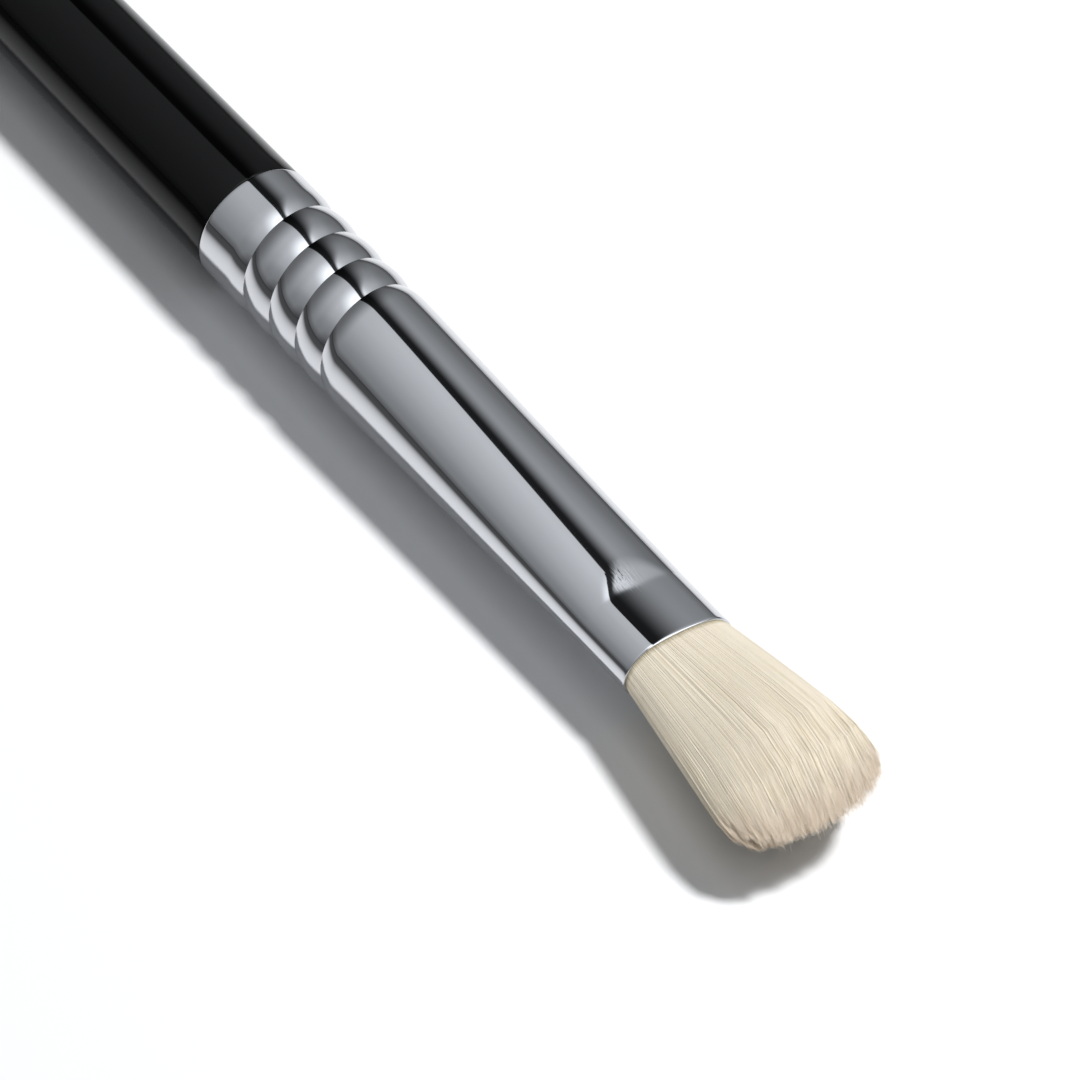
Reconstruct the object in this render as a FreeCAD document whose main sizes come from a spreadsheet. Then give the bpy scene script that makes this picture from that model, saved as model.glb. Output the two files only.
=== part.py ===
import FreeCAD, Part
import math
import os
import Sketcher

# Eye shadow brush lying on its side, broad face up, hair towards +X.
# Each piece is drawn about the brush's own axis, with x = 0 where handle and ferrule meet,
# and is then set down so that the origin lies under the middle of the whole brush.

SIZES = {
    # Turned handle
    "handle_length": 121.3,
    "handle_step": 0.06,
    "handle_bulge": 0.17,
    "tail_radius": 2.6,
    "shoulder_bevel": 0.15,
    # Ferrule: tube, rolled valleys, taper, ramp, pressed band and mouth
    "ferrule_length": 42.0,
    "ferrule_radius": 4.0,
    "ferrule_wall": 0.32,
    "rim_bevel": 0.08,
    "first_valley": 3.95,
    "valley_pitch": 2.63,
    "valley_depth": 0.25,
    "round_length": 13.5,
    "ramp_length": 1.6,
    "ramp_half_width": 3.81,
    "ramp_half_thickness": 2.34,
    "band_length": 4.2,
    "band_half_width": 3.86,
    "band_half_thickness": 2.21,
    "mouth_half_width": 3.86,
    "mouth_half_thickness": 2.19,
    "lip_bevel": 0.08,
    # Tenon of the handle inside the ferrule, and the glue round its nose
    "tenon_clearance": 0.05,
    "nose_length": 2.0,
    "nose_taper": 1.0,
    "glue_gap": 0.05,
    "glue_pad": 0.7,
    "glue_taper": 0.33,
    # Hair, and the resin that holds its roots
    "hair_length": 14.7,
    "hair_half_width": 5.3,
    "hair_half_thickness": 3.3,
    "hair_dome_length": 4.0,
    "hair_clearance": 0.05,
    "root_place": 26.0,
    "stub_length": 3.0,
    "stub_inset": 0.8,
    "resin_length": 6.0,
    "resin_clearance": 0.03,
}

VALLEY_COUNT = 4
# Where the four arcs of a section meet: the shares along Y and Z of the arcs' common normal,
# the same in every section, so that lofts between sections have straight, untwisted sides
CORNER_SHARES = (0.6, 0.8)
# Equal steps in which straight tapers and flares are drawn
TAPER_STEPS = 10
RESIN_STEPS = 3
ROOT_STEPS = 5
FLARE_STEPS = 6
# Sections of the domed tip, as shares of the dome's length, and the share of its curve they follow
DOME_SHARES = (0.25, 0.45, 0.62, 0.76, 0.87, 0.95, 1.0)
DOME_CURVE_SHARE = 0.99

doc = FreeCAD.newDocument("eye_shadow_brush")
sheet = doc.addObject("Spreadsheet::Sheet", "Sizes")
for row, (alias, length) in enumerate(SIZES.items(), start=1):
    sheet.set(f"A{row}", alias)
    sheet.set(f"B{row}", str(length))
    sheet.setAlias(f"B{row}", alias)
doc.recompute()


class Size:
    """A length that is both a number and the sheet formula that gives it."""

    def __init__(self, value, formula):
        self.value = value
        self.formula = formula

    def __add__(self, other):
        other = as_size(other)
        return Size(self.value + other.value, f"({self.formula} + {other.formula})")

    def __sub__(self, other):
        other = as_size(other)
        return Size(self.value - other.value, f"({self.formula} - {other.formula})")

    def __mul__(self, other):
        other = as_size(other)
        return Size(self.value * other.value, f"({self.formula} * {other.formula})")

    def __truediv__(self, other):
        other = as_size(other)
        return Size(self.value / other.value, f"({self.formula} / {other.formula})")

    def __neg__(self):
        return Size(-self.value, f"(0 - {self.formula})")


def as_size(item):
    return item if isinstance(item, Size) else Size(float(item), repr(item))


def named(alias):
    return Size(float(sheet.get(alias)), f"Sizes.{alias}")


def sag_radius(half_chord, sag):
    """Radius of the arc that rises by sag over a chord."""
    return (half_chord * half_chord + sag * sag) / (sag * 2)


def bind(obj, prop, size):
    obj.setExpression(prop, as_size(size).formula)


ZERO = as_size(0)

# Places along the axis, from the joint of handle and ferrule
HAIR_TIP = named("ferrule_length") + named("hair_length")
DOME_PLACE = HAIR_TIP - named("hair_dome_length")
MIDDLE = (HAIR_TIP - named("handle_length")) / 2
TAIL_PLACE = named("tail_radius") - named("handle_length")
BAND_PLACE = named("ferrule_length") - named("band_length")
RAMP_PLACE = BAND_PLACE - named("ramp_length")
HALF_PITCH = named("valley_pitch") / 2
SHOULDER_END = named("first_valley") + named("valley_pitch") * VALLEY_COUNT - HALF_PITCH
TENON_END = SHOULDER_END + named("nose_length")
RESIN_BACK = named("root_place") - named("resin_length")
STUB_BACK = named("root_place") - named("stub_length")

# Radii and offsets that the pieces share
HANDLE_RADIUS = named("ferrule_radius") - named("handle_step")
TENON_OFFSET = named("ferrule_wall") + named("tenon_clearance")
TENON_RADIUS = named("ferrule_radius") - TENON_OFFSET
NOSE_RADIUS = TENON_RADIUS - named("nose_taper")
BEAD_RADIUS = sag_radius(HALF_PITCH, named("valley_depth"))
HAIR_OFFSET = named("ferrule_wall") + named("hair_clearance")
RESIN_OFFSET = named("ferrule_wall") + named("resin_clearance")

# Outside of the ferrule where its form changes: place, half width and half thickness
ROUND_SECTION = (named("round_length"), named("ferrule_radius"), named("ferrule_radius"))
RAMP_SECTION = (RAMP_PLACE, named("ramp_half_width"), named("ramp_half_thickness"))
BAND_SECTION = (BAND_PLACE, named("band_half_width"), named("band_half_thickness"))
MOUTH_SECTION = (
    named("ferrule_length"), named("mouth_half_width"), named("mouth_half_thickness"),
)


def between(first, last, share):
    """The section that lies a share of the way from one section to another."""
    return tuple(start + (end - start) * share for start, end in zip(first, last))


def stepped(first, last, steps):
    """Sections in equal steps from one section to another."""
    return [between(first, last, index / steps) for index in range(steps + 1)]


def taper_section(place):
    """The outside of the ferrule's straight taper at a place along it."""
    share = (place - named("round_length")) / (RAMP_PLACE - named("round_length"))
    return between(ROUND_SECTION, RAMP_SECTION, share)


def inset(sections, offset):
    """The same sections moved inwards by an offset."""
    return [(place, width - offset, thickness - offset) for place, width, thickness in sections]


def new_body(label):
    body = doc.addObject("PartDesign::Body", label)
    body.Label = label
    bind(body, "Placement.Base.x", -MIDDLE)
    bind(body, "Placement.Base.z", named("ferrule_radius"))
    return body


def new_sketch(body, name, role, place=None):
    """An empty sketch on one of the body's own planes, moved along its normal to place."""
    sketch = body.newObject("Sketcher::SketchObject", name)
    plane = next(item for item in body.Origin.OriginFeatures if item.Role == role)
    sketch.AttachmentSupport = [(plane, "")]
    sketch.MapMode = "FlatFace"
    if place is not None:
        bind(sketch, "AttachmentOffset.Base.z", place)
    return sketch


def dimension(sketch, name, size, kind, *references):
    index = sketch.addConstraint(Sketcher.Constraint(kind, *references, size.value))
    sketch.renameConstraint(index, name)
    bind(sketch, f"Constraints.{name}", size)


def left_arc(start, end, radius):
    """The arc of under a half circle from start to end that bulges to its left."""
    chord = end - start
    left = FreeCAD.Vector(-chord.y, chord.x, 0).normalize()
    to_centre = math.sqrt(radius * radius - chord.Length * chord.Length / 4)
    crown = (start + end) / 2 + left * (radius - to_centre)
    return Part.Arc(start, crown, end)


def outline_sketch(body, name, role, points, place=None):
    """Sketch a closed outline from points (x, y, radius of the edge that follows).

    A radius of None is a straight edge, and an arc bulges to the left of its way."""
    sketch = new_sketch(body, name, role, place)
    corners = [FreeCAD.Vector(x.value, y.value, 0) for x, y, radius in points]
    first_ends = []
    for index, (x, y, radius) in enumerate(points):
        start = corners[index]
        end = corners[(index + 1) % len(points)]
        if radius is None:
            sketch.addGeometry(Part.LineSegment(start, end), False)
        else:
            sketch.addGeometry(left_arc(start, end, radius.value), False)
        from_first = sketch.getPoint(index, 1).distanceToPoint(start)
        from_second = sketch.getPoint(index, 2).distanceToPoint(start)
        first_ends.append(1 if from_first < from_second else 2)
    for index, (x, y, radius) in enumerate(points):
        edge_start = first_ends[index]
        before = index - 1 if index else len(points) - 1
        before_end = 3 - first_ends[before]
        sketch.addConstraint(
            Sketcher.Constraint("Coincident", before, before_end, index, edge_start)
        )
        for axis, other_axis, size in (("X", -2, x), ("Y", -1, y)):
            if size is ZERO:
                sketch.addConstraint(
                    Sketcher.Constraint("PointOnObject", index, edge_start, other_axis)
                )
            else:
                dimension(
                    sketch, f"{axis}{index}", size, f"Distance{axis}", -1, 1, index, edge_start
                )
        if radius is not None:
            dimension(sketch, f"radius{index}", radius, "Radius", index)
    return sketch


def oval_sketch(body, name, place, half_width, half_thickness):
    """An oval across the axis, of two end arcs and two face arcs that run smoothly together."""
    y_share, z_share = CORNER_SHARES
    centres_apart = (half_width - half_thickness) / (y_share + z_share - 1)
    end_radius = half_width - centres_apart * y_share
    face_radius = end_radius + centres_apart
    corner_y = face_radius * y_share
    corner_z = end_radius * z_share
    points = [
        (corner_y, corner_z, end_radius),
        (corner_y, -corner_z, face_radius),
        (-corner_y, -corner_z, end_radius),
        (-corner_y, corner_z, face_radius),
    ]
    return outline_sketch(body, name, "YZ_Plane", points, place)


def turn(body, kind, name, sketch):
    """Turn a profile about the body's X axis, adding (Revolution) or cutting (Groove)."""
    feature = body.newObject(f"PartDesign::{kind}", name)
    feature.Profile = sketch
    feature.ReferenceAxis = (sketch, ["H_Axis"])
    feature.Angle = 360


def loft(body, kind, name, sections):
    """Loft through oval sections, adding (AdditiveLoft) or cutting (SubtractiveLoft)."""
    sketches = [
        oval_sketch(body, f"{name}_section_{index}", *section)
        for index, section in enumerate(sections)
    ]
    feature = body.newObject(f"PartDesign::{kind}", name)
    feature.Profile = sketches[0]
    feature.Sections = sketches[1:]
    feature.Ruled = True


def rolled_line(offset, end, crown):
    """The tube's line with its rolled valleys, moved inwards by offset, from x = 0 to end.

    The beads between the valleys have the crown radius, or are plain slopes where it is None."""
    crest = named("ferrule_radius") - offset
    valley = crest - named("valley_depth")
    line = [(ZERO, crest, None), (named("first_valley") - HALF_PITCH, crest, crown)]
    for index in range(VALLEY_COUNT):
        place = named("first_valley") + named("valley_pitch") * index
        line.append((place, valley, crown))
        if crown is None and index < VALLEY_COUNT - 1:
            line.append((place + HALF_PITCH, crest, None))
    line.append((SHOULDER_END, crest, None))
    if end is not SHOULDER_END:
        line.append((end, crest, None))
    return line


def make_handle():
    body = new_body("handle")
    bevel = named("shoulder_bevel")
    bulge = named("handle_bulge")
    flank_run = TAIL_PLACE + bevel
    flank_rise = HANDLE_RADIUS - named("tail_radius")
    half_chord_squared = (flank_run * flank_run + flank_rise * flank_rise) / 4
    flank_radius = (half_chord_squared + bulge * bulge) / (bulge * 2)
    points = [
        (-named("handle_length"), ZERO, named("tail_radius")),
        (TAIL_PLACE, named("tail_radius"), flank_radius),
        (-bevel, HANDLE_RADIUS, None),
        (ZERO, HANDLE_RADIUS - bevel, None),
    ]
    points += rolled_line(TENON_OFFSET, SHOULDER_END, None)
    points += [(TENON_END, NOSE_RADIUS, None), (TENON_END, ZERO, None)]
    line = outline_sketch(body, "handle_line", "XZ_Plane", points)
    turn(body, "Revolution", "turned_wood", line)


def make_ferrule():
    body = new_body("ferrule")
    wall = named("ferrule_wall")
    bevel = named("rim_bevel")
    round_end = named("round_length")
    tube_line = rolled_line(ZERO, round_end, BEAD_RADIUS)
    tube_line[:1] = [
        (ZERO, named("ferrule_radius") - bevel, None),
        (bevel, named("ferrule_radius"), None),
    ]
    bore_line = rolled_line(wall, round_end, None)
    for kind, name, line in (("Revolution", "tube", tube_line), ("Groove", "bore", bore_line)):
        points = [(ZERO, ZERO, None)] + line + [(round_end, ZERO, None)]
        turn(body, kind, name, outline_sketch(body, f"{name}_line", "XZ_Plane", points))
    lip = named("lip_bevel")
    taper = stepped(ROUND_SECTION, RAMP_SECTION, TAPER_STEPS) + [BAND_SECTION]
    lip_back = (named("ferrule_length") - lip,) + MOUTH_SECTION[1:]
    loft(body, "AdditiveLoft", "barrel", taper + [lip_back] + inset([MOUTH_SECTION], lip))
    loft(body, "SubtractiveLoft", "barrel_bore", inset(taper + [MOUTH_SECTION], wall))


def make_handle_glue():
    body = new_body("handle_glue")
    socket_end = TENON_END + named("glue_gap")
    pad_end = socket_end + named("glue_pad")
    points = [
        (SHOULDER_END + named("glue_gap"), TENON_RADIUS, None),
        (pad_end, TENON_RADIUS - named("glue_taper"), None),
        (pad_end, ZERO, None),
        (socket_end, ZERO, None),
        (socket_end, NOSE_RADIUS, None),
    ]
    turn(body, "Revolution", "glue_cup", outline_sketch(body, "glue_line", "XZ_Plane", points))


def stub_oval(body, name, place, clearance):
    """Outline of the resin soaked stub of the roots, in the proportions of the taper there."""
    root, half_width, half_thickness = taper_section(named("root_place"))
    narrower = HAIR_OFFSET + named("stub_inset") - clearance
    return oval_sketch(body, name, place, half_width - narrower, half_thickness - narrower)


def make_hair_resin():
    body = new_body("hair_resin")
    back = taper_section(RESIN_BACK)
    front = taper_section(named("root_place"))
    loft(body, "AdditiveLoft", "plug", inset(stepped(back, front, RESIN_STEPS), RESIN_OFFSET))
    clearance = named("resin_clearance")
    socket = body.newObject("PartDesign::Pocket", "root_socket")
    socket.Profile = stub_oval(body, "socket_oval", named("root_place"), clearance)
    bind(socket, "Length", named("stub_length") + clearance)


def make_bristle_tuft():
    body = new_body("bristle_tuft")
    full_section = (DOME_PLACE, named("hair_half_width"), named("hair_half_thickness"))
    roots = stepped(taper_section(named("root_place")), RAMP_SECTION, ROOT_STEPS)
    sections = inset(roots + [BAND_SECTION, MOUTH_SECTION], HAIR_OFFSET)
    sections += stepped(sections[-1], full_section, FLARE_STEPS)[1:]
    for share in DOME_SHARES:
        narrowing = math.sqrt(1 - (DOME_CURVE_SHARE * share) ** 2)
        place = DOME_PLACE + named("hair_dome_length") * share
        sections.append((place, full_section[1] * narrowing, full_section[2] * narrowing))
    loft(body, "AdditiveLoft", "hair", sections)
    stub = body.newObject("PartDesign::Pad", "root_stub")
    stub.Profile = stub_oval(body, "stub_oval", STUB_BACK, ZERO)
    bind(stub, "Length", named("stub_length"))


make_handle()
make_ferrule()
make_handle_glue()
make_hair_resin()
make_bristle_tuft()
doc.recompute()

for item in doc.Objects:
    if "Invalid" in item.State or "Error" in item.State:
        raise RuntimeError(f"{item.Label} did not build: {item.State}")
bodies = [item for item in doc.Objects if item.TypeId == "PartDesign::Body"]
for body in bodies:
    if body.Shape.isNull() or not body.Shape.isValid() or len(body.Shape.Solids) != 1:
        raise RuntimeError(f"{body.Label} is not one valid solid")

os.makedirs("parts", exist_ok=True)
for body in bodies:
    body.Shape.exportStep(f"parts/{body.Label}.step")
    box = body.Shape.BoundBox
    print(
        f"{body.Label}: {body.Shape.Volume:.1f} mm3,",
        f"x {box.XMin:.2f} to {box.XMax:.2f}, y {box.YMin:.2f} to {box.YMax:.2f},",
        f"z {box.ZMin:.2f} to {box.ZMax:.2f}",
    )
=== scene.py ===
import math
from collections import namedtuple

import bpy
from bpy.props import FloatProperty, FloatVectorProperty, IntProperty, PointerProperty
from mathutils import Matrix, Vector


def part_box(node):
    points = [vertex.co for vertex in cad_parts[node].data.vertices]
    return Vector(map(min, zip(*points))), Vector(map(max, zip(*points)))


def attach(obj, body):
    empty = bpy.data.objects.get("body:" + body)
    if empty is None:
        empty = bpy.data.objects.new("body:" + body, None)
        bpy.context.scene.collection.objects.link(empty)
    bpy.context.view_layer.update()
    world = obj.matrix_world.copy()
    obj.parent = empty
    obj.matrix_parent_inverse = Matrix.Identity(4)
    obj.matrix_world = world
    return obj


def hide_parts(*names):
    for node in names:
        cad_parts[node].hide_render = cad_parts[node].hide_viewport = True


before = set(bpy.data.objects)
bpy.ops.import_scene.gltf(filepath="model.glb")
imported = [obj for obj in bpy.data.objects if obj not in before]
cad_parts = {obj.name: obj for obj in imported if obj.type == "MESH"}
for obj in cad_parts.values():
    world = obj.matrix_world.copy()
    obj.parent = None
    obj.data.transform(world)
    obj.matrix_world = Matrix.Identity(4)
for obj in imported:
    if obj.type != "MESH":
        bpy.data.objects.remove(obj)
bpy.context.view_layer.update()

bl_info = {
    "name": "Eye Shadow Brush",
    "version": (1, 0, 0),
    "blender": (4, 5, 0),
    "location": "View3D > Sidebar > Brush",
    "description": "Dresses the CAD frame of an eye shadow brush: lacquer, plated ferrule and hair",
    "category": "Object",
}

# Places that the frame gives, in metres.
BODY = "root"
FERRULE_LOW, FERRULE_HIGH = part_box("ferrule")
HANDLE_LOW, HANDLE_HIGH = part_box("handle")
TUFT_LOW, TUFT_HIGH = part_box("bristle_tuft")
JOINT = Vector((FERRULE_LOW.x, 0.0, (FERRULE_LOW.z + FERRULE_HIGH.z) / 2))
FERRULE_RADIUS = (FERRULE_HIGH.z - FERRULE_LOW.z) / 2
FERRULE_LENGTH = FERRULE_HIGH.x - FERRULE_LOW.x
TAIL_END = HANDLE_LOW.x - JOINT.x
TENON_END = HANDLE_HIGH.x - JOINT.x
ROOT_END = TUFT_LOW.x - JOINT.x

# How finely the meshes are cut.
TUBE_SEGMENTS = 224
WOOD_SEGMENTS = 128
HAIR_SIDES = 3
HAIR_STEPS = 7
BEAD_STEPS = 20
TAIL_STEPS = 24
FLANK_STEPS = 90
TENON_STEPS = 8
EDGE_STEPS = 6
LIP_STEPS = 7

# Rings of the tube's stretches, outside from the rim to the lip and then back inside.
COLLAR_RINGS = 10
RUN_OUT_RINGS = 12
TAPER_RINGS = 48
PRESS_RINGS = 60
BAND_RINGS = 24
MOUTH_BORE_RINGS = 30
TENON_BORE_RINGS = 12

# Finely cut stretch before and after the press mark, and softness of its edge, in metres.
PRESS_FINE_BEFORE = 0.003
PRESS_FINE_AFTER = 0.0006
PRESS_RAMP_BLEND = 0.0002

# Turns of the thread, runs over which a row's lead fades, and lip walls that are thinned.
THREAD_TURNS = 4
LEAD_RUNS = 1.15
THINNED_LIP_WALLS = 8

# How far in front of the solid's root end the modelled hairs start, in metres.
ROOT_INSET = 0.003


def length(name, description, default):
    """A size that a user would change, in metres."""
    return FloatProperty(
        name=name, description=description, default=default, unit="LENGTH", precision=5, step=0.01
    )


def share(name, description, default, top=1.0):
    """A plain number from nothing to top."""
    return FloatProperty(name=name, description=description, default=default, min=0.0, max=top)


def colour(name, description, default):
    """A linear colour of a finish."""
    return FloatVectorProperty(
        name=name, description=description, default=default, subtype="COLOR", min=0.0, max=1.0
    )


def tilt(name, description, degrees):
    """An angle, written in degrees."""
    return FloatProperty(
        name=name, description=description, default=math.radians(degrees), subtype="ANGLE"
    )


class HandleSettings(bpy.types.PropertyGroup):
    """Sizes and finish of the turned, lacquered handle."""

    step: length("Step", "How far the wood lies below the ferrule's rim", 0.00006)
    bulge: length("Bulge", "Swell of the flank between tail and shoulder", 0.00017)
    tail_radius: length("Tail Radius", "Radius of the round tail end", 0.0026)
    shoulder_round: length("Shoulder Round", "Rounding where the wood meets the rim", 0.00015)
    tenon_clearance: length("Tenon Clearance", "Glue gap round the hidden tenon", 0.00005)
    nose_length: length("Nose Length", "Length of the tenon's tapered nose", 0.002)
    nose_taper: length("Nose Taper", "How far the nose narrows", 0.001)
    lacquer: colour("Lacquer", "Colour of the black lacquer", (0.0006, 0.0006, 0.0007))
    roughness: share("Roughness", "Blur of the lacquer's reflections", 0.05)


class FerruleSettings(bpy.types.PropertyGroup):
    """Sizes and finish of the rolled and pressed metal tube."""

    wall: length("Wall", "Thickness of the tube", 0.00032)
    rim_round: length("Rim Round", "Rounding of the rim at the handle", 0.0001)
    lip_round: length("Lip Round", "Rounding of the lip at the hair", 0.00013)
    lip_wall: length("Lip Wall", "Thickness of the lip's thinned edge", 0.00024)
    first_valley: length("First Valley", "Where the thread first crosses the top", 0.00367)
    thread_pitch: length("Thread Pitch", "Distance from one turn to the next", 0.00263)
    thread_depth: length("Thread Depth", "Depth of the rolled thread", 0.0002)
    thread_start: length("Thread Start", "Where the thread runs in", 0.002)
    thread_end: length("Thread End", "Where the thread runs out", 0.0137)
    thread_run: length("Thread Run", "Length over which it runs in or out", 0.0012)
    round_length: length("Round Length", "Length of the round end before the taper", 0.0135)
    taper_blend: length("Taper Blend", "Softness of the taper's start", 0.0012)
    press_place: length("Press Place", "Where the pressed band starts", 0.0378)
    full_half_width: length("Half Width", "Half width at the pressed band", 0.00386)
    full_half_thickness: length("Half Thickness", "Half thickness beside the press mark", 0.00245)
    jaw_half_gap: length("Jaw Gap", "Half thickness between the press jaws", 0.0022)
    jaw_radius: length("Jaw Radius", "Hollow of the press jaws across the band", 0.0115)
    jaw_ramp: share("Jaw Ramp", "Slope of the press mark's back edge", 0.22)
    jaw_blend: length("Jaw Blend", "Rounding of the press mark's edge", 0.00008)
    plate: colour("Plate", "Colour of the bright plating", (0.64, 0.65, 0.675))
    roughness: share("Roughness", "Blur of the plate's reflections", 0.03)


class HairSettings(bpy.types.PropertyGroup):
    """Sizes and colours of the tuft."""

    core_count: IntProperty(name="Core Hairs", description="Hairs inside the tuft", default=3600)
    shell_count: IntProperty(name="Shell Hairs", description="Hairs of a layer", default=4400)
    wisp_count: IntProperty(name="Wisps", description="Longer hairs with pointed tips", default=900)
    stray_count: IntProperty(name="Stray Hairs", description="Hairs that stand off", default=60)
    seed: IntProperty(name="Seed", description="Fixed start of the random draws", default=7)
    hair_radius: length("Hair Radius", "Radius of a hair", 0.000022)
    mouth_half_width: length("Mouth Half Width", "Half width of the tuft at the lip", 0.00368)
    mouth_half_thickness: length("Mouth Half Thickness", "Half thickness at the lip", 0.00202)
    full_half_width: length("Full Half Width", "Half width at the widest place", 0.0053)
    full_half_thickness: length("Full Half Thickness", "Half thickness there", 0.00375)
    dome_length: length("Dome Length", "Length of the domed end", 0.004)
    shortness: length("Shortness", "How much shorter a hair may be than the rim", 0.0007)
    point_depth: length("Point Depth", "Depth of the gaps between the rim's points", 0.0007)
    undercut: length("Undercut", "How much shorter the lowest hairs are", 0.0011)
    overhang: length("Overhang", "How much longer the top hairs are", 0.00035)
    droop: length("Droop", "How far the tips hang down", 0.0005)
    clump: length("Clump", "How far locks drift apart at the tips", 0.00024)
    jitter: length("Jitter", "How far a single hair strays at its tip", 0.00004)
    wisp_length: length("Wisp Length", "How far a wisp may stand out of the dome", 0.00035)
    lean: length("Lean", "How far the tips lean to the near side", 0.00025)
    cream: colour("Cream", "Colour of most hairs", (0.965, 0.882, 0.74))
    straw: colour("Straw", "Colour of the warmer hairs", (0.95, 0.85, 0.64))
    # Painted shade: the roots take this darker colour at the lip, where the ferrule shades them.
    root: colour("Root", "Colour in the shade of the lip", (0.62, 0.55, 0.4))
    tip: colour("Tip", "Colour at the tips", (0.955, 0.84, 0.7))


class StageSettings(bpy.types.PropertyGroup):
    """Camera, light and floor."""

    lens: FloatProperty(name="Lens", description="Focal length in millimetres", default=266.7)
    elevation: tilt("Elevation", "Camera's height above the floor", 44.19)
    azimuth: tilt("Azimuth", "Camera's turn from the brush's axis to its near side", 41.55)
    roll: tilt("Roll", "Camera's turn about its own axis", 7.55)
    distance: length("Distance", "From the camera to the joint, along the view", 0.474)
    joint_right: length("Joint Right", "Place of the joint in view, to the right", -0.01693)
    joint_down: length("Joint Down", "Place of the joint in view, downwards", -0.01875)
    ambient: share("Ambient", "Share of the tent's light that falls on matt surfaces", 0.45, 2.0)
    key_power: FloatProperty(name="Key Power", description="Power of the key lamp", default=3.9)
    hair_power: FloatProperty(name="Hair Power", description="Power of the hair's lamp", default=2.9)
    floor: colour("Floor", "Colour of the floor", (0.86, 0.865, 0.875))
    floor_glow: share("Floor Glow", "Lift of the floor to white", 0.015)


def live_socket(sockets, key):
    """Socket by number, or the switched-on one by name."""
    if isinstance(key, int):
        return sockets[key]
    return next(socket for socket in sockets if socket.name == key and socket.enabled)


class Wire:
    """A node's output that takes part in Python arithmetic: each operator adds a Math node."""

    def __init__(self, graph, socket):
        self.graph = graph
        self.socket = socket

    def __getitem__(self, name):
        return Wire(self.graph, live_socket(self.socket.node.outputs, name))

    def __add__(self, other):
        return self.graph.math("ADD", self, other)

    __radd__ = __add__

    def __sub__(self, other):
        return self.graph.math("SUBTRACT", self, other)

    def __mul__(self, other):
        return self.graph.math("MULTIPLY", self, other)

    __rmul__ = __mul__

    def __truediv__(self, other):
        return self.graph.math("DIVIDE", self, other)

    def __pow__(self, other):
        return self.graph.math("POWER", self, other)

    def __rsub__(self, other):
        return self.graph.math("SUBTRACT", other, self)

    def __rtruediv__(self, other):
        return self.graph.math("DIVIDE", other, self)


class Graph:
    """Builds one node tree: every node comes from one method."""

    def __init__(self, tree):
        self.tree = tree
        tree.nodes.clear()

    def node(self, kind, inputs=None, **settings):
        """Adds a node, sets it up, fills its sockets, and gives its first live output."""
        node = self.tree.nodes.new(kind)
        for name, value in settings.items():
            if name == "stops":
                self.set_stops(node.color_ramp, value)
            else:
                setattr(node, name, value)
        for key, value in (inputs or {}).items():
            socket = live_socket(node.inputs, key)
            if isinstance(value, Wire):
                self.tree.links.new(value.socket, socket)
            else:
                socket.default_value = value
        outputs = [socket for socket in node.outputs if socket.enabled]
        return Wire(self, outputs[0]) if outputs else None

    @staticmethod
    def set_stops(ramp, stops):
        """Gives a colour ramp its stops, each a place and a grey level."""
        while len(ramp.elements) < len(stops):
            ramp.elements.new(1.0)
        for element, (place, level) in zip(ramp.elements, stops):
            element.position = place
            element.color = (level, level, level, 1.0)

    def math(self, operation, *values):
        return self.node("ShaderNodeMath", dict(enumerate(values)), operation=operation)

    def smooth(self, value, low, high):
        """Goes smoothly from 0 at low to 1 at high."""
        inputs = {"Value": value, "From Min": low, "From Max": high}
        return self.node("ShaderNodeMapRange", inputs, interpolation_type="SMOOTHSTEP")

    def blend(self, factor, first, second):
        """A colour between two colours, each a wire or a plain colour."""
        inputs = {"Factor": factor}
        for name, value in (("A", first), ("B", second)):
            inputs[name] = value if isinstance(value, Wire) else (*value, 1.0)
        return self.node("ShaderNodeMix", inputs, data_type="RGBA", clamp_factor=True)

    def noise(self, vector, scale, detail):
        inputs = {"Vector": vector, "Scale": scale, "Detail": detail}
        return self.node("ShaderNodeTexNoise", inputs)

    def axes(self, vector):
        """A vector taken apart into X, Y and Z."""
        return self.node("ShaderNodeSeparateXYZ", {"Vector": vector})

    def grain(self, vector, stretch):
        """Coordinates for a pattern that is drawn out along the brush."""
        inputs = {"Vector": vector, "Scale": (1 / stretch, 1.0, 1.0)}
        return self.node("ShaderNodeMapping", inputs, vector_type="TEXTURE")


BLACK = (0.0, 0.0, 0.0)
WHITE = (1.0, 1.0, 1.0)


def new_finish(name):
    """A material with an empty tree, and its Object coordinates."""
    material = bpy.data.materials.new(name)
    material.use_nodes = True
    graph = Graph(material.node_tree)
    place = graph.node("ShaderNodeTexCoord")["Object"]
    return material, graph, place


def surface(graph, sockets):
    """One Principled surface as the material's output."""
    shader = graph.node("ShaderNodeBsdfPrincipled", sockets)
    graph.node("ShaderNodeOutputMaterial", {"Surface": shader})


def bump(graph, height, distance):
    """Fine relief of a finish, with its depth in metres."""
    return graph.node("ShaderNodeBump", {"Height": height, "Distance": distance})


def black_lacquer(settings):
    """Deep black gloss with a slight peel and a few dust nibs."""
    peel_scale, nib_scale, cloud_scale = 700.0, 260.0, 90.0
    nib_core, nib_edge, nib_height = 0.02, 0.05, 0.6
    cloud_blur, nib_blur, relief = 0.05, 0.2, 0.000004
    material, graph, place = new_finish("black_lacquer")
    peel = graph.noise(graph.grain(place, 0.35), peel_scale, 3.0)
    nibs = graph.node("ShaderNodeTexVoronoi", {"Vector": place, "Scale": nib_scale})
    nib = 1 - graph.smooth(nibs["Distance"], nib_core, nib_edge)
    cloud = graph.noise(place, cloud_scale, 4.0)
    paler = [2 * value for value in settings.lacquer]
    surface(graph, {
        "Base Color": graph.blend(cloud, settings.lacquer, paler),
        "Roughness": settings.roughness + cloud_blur * cloud + nib_blur * nib,
        "IOR": 1.3,
        "Normal": bump(graph, peel + nib_height * nib, relief),
    })
    return material


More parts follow.
